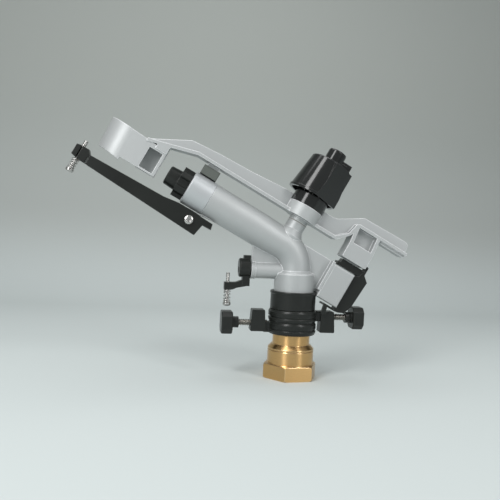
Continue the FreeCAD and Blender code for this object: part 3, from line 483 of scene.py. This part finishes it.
nylon = finish_material(
    "black_nylon", (0.009, 0.010, 0.009), (0.016, 0.018, 0.016), (0.06, 0.065, 0.06),
    roughness=0.30, spread=0.15, fine_scale=1400, bump=0.25, wear_and_sheen=0.5, specular=0.32)
dark_steel = finish_material(
    "blackened_steel", (0.34, 0.33, 0.30), (0.22, 0.21, 0.19), (0.40, 0.39, 0.37),
    roughness=0.30, spread=0.15, metallic=1.0, fine_scale=1000, wear_and_sheen=0.0)
dress(nylon, "bearing_housing")
for level in ("lower", "upper"):
    dress(nylon, level + "_stop_ring", level + "_stop_block", level + "_stop_knob")

# A rod along z, centred, with a helical thread cut into it.
threaded_rod, given, put_out = geometry_tree(
    "threaded_rod",
    [("Diameter", "Float", 6 * mm), ("Length", "Float", 20 * mm), ("Pitch", "Float", 1 * mm),
     ("Depth", "Float", 0.6 * mm), ("Sides", "Int", 40), ("Steps per Turn", "Int", 8)])
rod_radius = maths(threaded_rod, "MULTIPLY", given.outputs["Diameter"], 0.5)
turns = maths(threaded_rod, "DIVIDE", given.outputs["Length"], given.outputs["Pitch"])
levels = maths(threaded_rod, "MULTIPLY", turns, given.outputs["Steps per Turn"])
blank = node(threaded_rod, "GeometryNodeMeshCylinder")
placed_at = node(threaded_rod, "GeometryNodeInputPosition")
apart = node(threaded_rod, "ShaderNodeSeparateXYZ")
linked(threaded_rod, (placed_at.outputs[0], apart.inputs[0]))
angle = maths(threaded_rod, "ARCTAN2", apart.outputs["Y"], apart.outputs["X"])
bearing = maths(threaded_rod, "DIVIDE", angle, math.tau)
climb = maths(threaded_rod, "DIVIDE", apart.outputs["Z"], given.outputs["Pitch"])
phase = maths(threaded_rod, "FRACT", maths(threaded_rod, "SUBTRACT", climb, bearing))
doubled = maths(threaded_rod, "MULTIPLY", phase, 2.0)
flank = maths(threaded_rod, "ABSOLUTE", maths(threaded_rod, "SUBTRACT", doubled, 1.0))
cut = maths(threaded_rod, "MULTIPLY", flank, given.outputs["Depth"])
kept = maths(threaded_rod, "SUBTRACT", 1.0, maths(threaded_rod, "DIVIDE", cut, rod_radius))
together = node(threaded_rod, "ShaderNodeCombineXYZ")
cut_in = node(threaded_rod, "GeometryNodeSetPosition")
linked(threaded_rod,
       (given.outputs["Sides"], blank.inputs["Vertices"]), (levels, blank.inputs["Side Segments"]),
       (rod_radius, blank.inputs["Radius"]), (given.outputs["Length"], blank.inputs["Depth"]),
       (maths(threaded_rod, "MULTIPLY", apart.outputs["X"], kept), together.inputs["X"]),
       (maths(threaded_rod, "MULTIPLY", apart.outputs["Y"], kept), together.inputs["Y"]),
       (apart.outputs["Z"], together.inputs["Z"]),
       (blank.outputs["Mesh"], cut_in.inputs["Geometry"]),
       (together.outputs[0], cut_in.inputs["Position"]))
closed_off(threaded_rod, given, put_out, cut_in.outputs[0], smooth=False)


def lathed(name, outline, place, finish, sides=40):
    """A solid of revolution about z from (radius, height) points, the ends on the axis."""
    corners = [(0, 0, outline[0][1]), (0, 0, outline[-1][1])]
    faces = []
    for radius, height in outline[1:-1]:
        for n in range(sides):
            angle = math.tau * n / sides
            corners.append((radius * math.cos(angle), radius * math.sin(angle), height))
    last = 2 + (len(outline) - 3) * sides
    for n in range(sides):
        after = (n + 1) % sides
        faces.append((0, 2 + after, 2 + n))
        faces.append((1, last + n, last + after))
        for level in range(2, last, sides):
            faces.append((level + n, level + after, level + sides + after, level + sides + n))
    mesh = bpy.data.meshes.new(name)
    mesh.from_pydata(corners, [], faces)
    mesh.transform(place)
    mesh.materials.append(finish)
    made = bpy.data.objects.new(name, mesh)
    bpy.context.scene.collection.objects.link(made)
    return made


def joined(name, *parts):
    """One object from the meshes of several, which all have the same finish."""
    shape = bmesh.new()
    for part in parts:
        shape.from_mesh(part.data)
    finish = parts[0].data.materials[0]
    for part in parts:
        bpy.data.objects.remove(part)
    mesh = bpy.data.meshes.new(name)
    shape.to_mesh(mesh)
    shape.free()
    mesh.materials.append(finish)
    made = bpy.data.objects.new(name, mesh)
    bpy.context.scene.collection.objects.link(made)
    return made


stop_thread_pitch = 2.0 * mm
stop_thread_depth = 1.3 * mm
stop_point_radius = 2.0 * mm
stop_point_chamfer = 0.4 * mm
stop_point_length = 8.4 * mm
stop_point_overlap = 0.5 * mm
stop_point_root = stop_point_length + stop_point_overlap
for level, side in (("lower", -1), ("upper", 1)):
    low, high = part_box(level + "_stop_screw")
    height = (low.z + high.z) / 2
    reach = high.x - low.x
    outer_end = high.x if side > 0 else low.x
    thread_length = reach - stop_point_length
    thread = grown(
        "thread", threaded_rod,
        upright_on((outer_end - side * thread_length / 2, 0, height), (side, 0, 0)),
        Diameter=high.z - low.z, Length=thread_length, Pitch=stop_thread_pitch,
        Depth=stop_thread_depth, Finish=dark_steel)
    point = lathed(
        "point",
        [(0, 0), (stop_point_radius - stop_point_chamfer, 0),
         (stop_point_radius, stop_point_chamfer), (stop_point_radius, stop_point_root),
         (0, stop_point_root)],
        upright_on((outer_end - side * reach, 0, height), (side, 0, 0)), dark_steel)
    screw = joined(level + "_clamp_screw", thread, point)
    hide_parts(level + "_stop_screw")
    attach(screw, level + "_thumb_screw")

# ---------------------------------------------------------------- body casting
# One aluminium die casting for the collar, elbow, barrel and arm post, shot-blasted and lightly
# polished, with its sharp edges painted near-white as a painted highlight for edge sheen. It is fixed
# on top of the swivel tube.

# The near-white edge colour at full strength is a painted highlight standing in for edge sheen on the
# casting.
cast_aluminium = finish_material(
    "cast_aluminium", (0.45, 0.465, 0.465), (0.38, 0.395, 0.395), (0.95, 0.96, 0.97),
    roughness=0.48, spread=0.14, metallic=0.35, fine_scale=700, bump=0.6,
    bump_depth=0.12 * mm, wear_and_sheen=1.0)
dress(cast_aluminium, "body_casting")

# ---------------------------------------------------------------- nozzle
# A moulded nylon nozzle on a rubber gasket, clamped to the barrel's end by a ring turned from
# aluminium bar. An acetal vane in the barrel behind it straightens the flow.

barrel_rise = math.radians(28)
turned_aluminium = finish_material(
    "turned_aluminium", (0.50, 0.52, 0.53), (0.45, 0.47, 0.48), (0.75, 0.76, 0.77),
    roughness=0.42, spread=0.1, metallic=0.5, fine_scale=6, stretch=(260, 6, 6),
    tilt=barrel_rise, bump=0.25)
dress(acetal, "stream_straightener")
dress(rubber, "nozzle_gasket")
dress(nylon, "nozzle_insert")
dress(turned_aluminium, "nozzle_ring")

# ---------------------------------------------------------------- breaker lever
# A long nylon lever under the jet, on a stainless bolt through the barrel's lug. The bolt has a
# domed head with a socket. At the lever's tip a pan-head screw with a rolled thread points up at
# the jet, and a round-wire spring between its head and the lever holds it where it is set.

rolled_steel = finish_material(
    "rolled_steel", (0.58, 0.57, 0.55), (0.36, 0.355, 0.34), (0.88, 0.88, 0.86),
    roughness=0.26, spread=0.1, metallic=1.0, fine_scale=1200, wear_and_sheen=0.0)
dress(nylon, "breaker_lever")
dress(stainless, "breaker_nut")

screw_thread_pitch = 0.9 * mm
screw_thread_depth = 0.5 * mm
screw_thread_overlap = 0.4 * mm
screw_head_radius = 4.5 * mm
screw_head_height = 3.5 * mm
screw_head_chamfer = 0.2 * mm
screw_crown_radius = screw_head_radius * 0.62
screw_shoulder_radius = screw_head_radius * 0.86
screw_shoulder_height = 0.35 * mm
screw_dome_height = 1.3 * mm
screw_socket_depth = 0.9 * mm
screw_socket_floor = screw_head_radius * 0.34
screw_socket_mouth = screw_head_radius * 0.40
spring_wire = 1.05 * mm
spring_turns = 5.0
spring_closed_ends = 0.45


def span_along(name, axis):
    """Where a CAD node starts and ends along an axis, from its own corners."""
    heights = [corner.co.dot(axis) for corner in frame["nodes"][name].data.vertices]
    return min(heights), max(heights)


def adjusting_screw(piece, joint, carried, thread_diameter):
    """The screw that a joint moves on its carrier, and the spring that it works against."""
    axis = next(Vector(row["axis"]) for row in frame["joints"] if row["name"] == joint)
    axis.normalize()
    low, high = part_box(piece + "_spring")
    centre = (low + high) / 2
    centre -= axis * centre.dot(axis)
    bottom, top = span_along(piece + "_screw", axis)
    neck = bottom + screw_head_height
    thread = grown(
        "thread", threaded_rod, upright_on(centre + axis * (neck + top) / 2, axis),
        Diameter=thread_diameter, Length=top - neck + screw_thread_overlap,
        Pitch=screw_thread_pitch, Depth=screw_thread_depth, Sides=32, Finish=rolled_steel)
    head = lathed(
        "head",
        [(0, screw_socket_depth), (screw_socket_floor, screw_socket_depth),
         (screw_socket_mouth, 0), (screw_crown_radius, 0),
         (screw_shoulder_radius, screw_shoulder_height), (screw_head_radius, screw_dome_height),
         (screw_head_radius, screw_head_height - screw_head_chamfer),
         (screw_head_radius - screw_head_chamfer, screw_head_height), (0, screw_head_height)],
        upright_on(centre + axis * bottom, axis), rolled_steel)
    screw = joined(piece + "_adjusting_screw", thread, head)
    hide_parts(piece + "_screw")
    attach(screw, carried)
    seat, rest = span_along(piece + "_spring", axis)
    seat += spring_wire / 2
    rest -= spring_wire / 2
    coil = grown(
        piece + "_coil_spring", wound_wire, upright_on(centre + axis * seat, axis),
        Coil_Diameter=(high - low).y - spring_wire, Wire_Diameter=spring_wire,
        Length=rest - seat, Turns=spring_turns, Closed_Ends=spring_closed_ends,
        Finish=stainless)
    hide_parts(piece + "_spring")
    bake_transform(coil)


adjusting_screw("breaker", "breaker_screw_travel", "breaker_adjuster",
                thread_diameter=5.0 * mm)

bolt_radius = 3.0 * mm
bolt_head_height = 2.6 * mm
bolt_dome_height = 1.5 * mm
bolt_shoulder_height = 0.5 * mm
bolt_socket_depth = 1.5 * mm
bolt_socket_bevel = 0.1 * mm
low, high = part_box("breaker_bolt")
bolt_head_radius = (high.x - low.x) / 2
bolt_shoulder_radius = bolt_head_radius * 0.86
bolt_crown_radius = bolt_head_radius * 0.60
bolt_socket_mouth = bolt_head_radius * 0.44
bolt_socket_radius = bolt_head_radius * 0.40
bolt_length = high.y - low.y
bolt = lathed(
    "breaker_pivot_bolt",
    [(0, bolt_socket_depth), (bolt_socket_radius, bolt_socket_depth),
     (bolt_socket_mouth, bolt_socket_bevel), (bolt_crown_radius, 0),
     (bolt_shoulder_radius, bolt_shoulder_height), (bolt_head_radius, bolt_dome_height),
     (bolt_head_radius, bolt_head_height), (bolt_radius, bolt_head_height),
     (bolt_radius, bolt_length), (0, bolt_length)],
    upright_on(((low.x + high.x) / 2, low.y, (low.z + high.z) / 2), (0, 1, 0)), stainless)
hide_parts("breaker_bolt")
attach(bolt, "head")

# ---------------------------------------------------------------- auxiliary nozzle
# A small moulded nylon nozzle on the elbow's side boss, which waters the ground close by. Its own
# arm carries a smaller sprung screw, made like the lever's.

dress(nylon, "aux_nozzle")
adjusting_screw("aux", "aux_screw_travel", "aux_adjuster", thread_diameter=4.4 * mm)

# ---------------------------------------------------------------- drive arm
# An aluminium casting that swings on two acetal bushes round a stainless shaft. It rests on a
# thrust washer painted dark grey as painted shade for the gap under the hub, and a rubber boot
# cushions its blow against the body.

# Dark grey acetal for the thrust washer: painted shade for the shadowed gap under the arm's hub.
greased_acetal = finish_material(
    "greased_acetal", (0.30, 0.30, 0.28), (0.24, 0.24, 0.22), (0.4, 0.4, 0.38), roughness=0.42,
    spread=0.1)
dress(stainless, "pivot_shaft")
dress(greased_acetal, "thrust_washer")
dress(acetal, "arm_lower_bush", "arm_upper_bush")
dress(cast_aluminium, "arm_casting")
dress(rubber, "arm_bumper")

# ---------------------------------------------------------------- spring housing
# Glossy black mouldings over the arm's stainless return spring, and the knob that sets its
# tension. They stand on the pivot shaft above the arm's hub.

gloss_black = finish_material(
    "gloss_black", (0.008, 0.009, 0.009), (0.012, 0.013, 0.012), (0.05, 0.05, 0.05),
    roughness=0.15, spread=0.06, fine_scale=600, bump=0.06, wear_and_sheen=0.4, coat=0.32, specular=0.30)
dress(stainless, "arm_spring")
dress(gloss_black, "spring_cup", "spring_cover", "tension_knob")

# ---------------------------------------------------------------- trip
# A cast aluminium box with a cover, behind the elbow, and a moulded nylon rocker on a stainless
# pin in it. The rocker's finger meets the stops and sends the head back the other way.

dress(cast_aluminium, "trip_housing", "trip_housing_cover")
dress(stainless, "trip_pin")
dress(nylon, "trip_lever")
